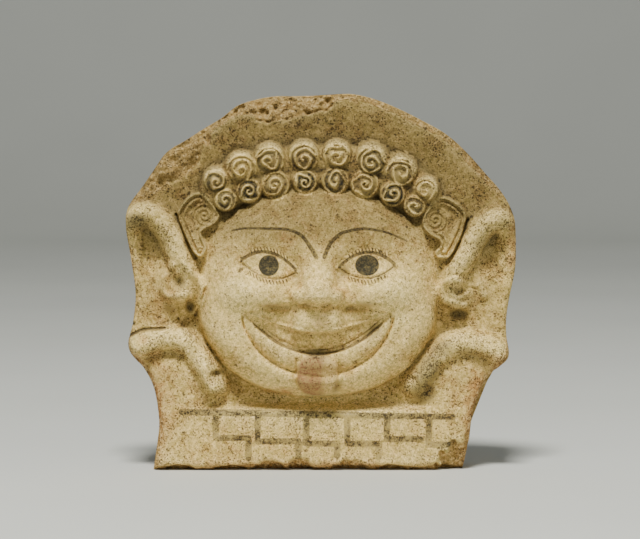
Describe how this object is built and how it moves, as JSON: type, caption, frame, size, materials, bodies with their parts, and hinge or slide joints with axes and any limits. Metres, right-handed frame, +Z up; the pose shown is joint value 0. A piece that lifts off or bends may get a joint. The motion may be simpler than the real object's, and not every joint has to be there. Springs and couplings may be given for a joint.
{
  "type": "gorgon antefix",
  "caption": "Arched terracotta roof end plate with a grinning gorgon face in relief, curled hair, ears and snakes over a band painted with a meander.",
  "frame": {"origin": "on the ground under the middle of the whole object's box", "axes": "+Z up; the face looks along -Y, the flat back looks along +Y, +X is to the right of someone looking at the face"},
  "size_m": [0.2206, 0.06, 0.2124],
  "materials": {
    "terracotta": "matt pale buff fired clay with a worn cream slip, dark and red-brown paint, orange clay showing in the breaks, dark speckles and grime"
  },
  "bodies": {
    "root": {"antefix": "terracotta"}
  },
  "joints": []
}
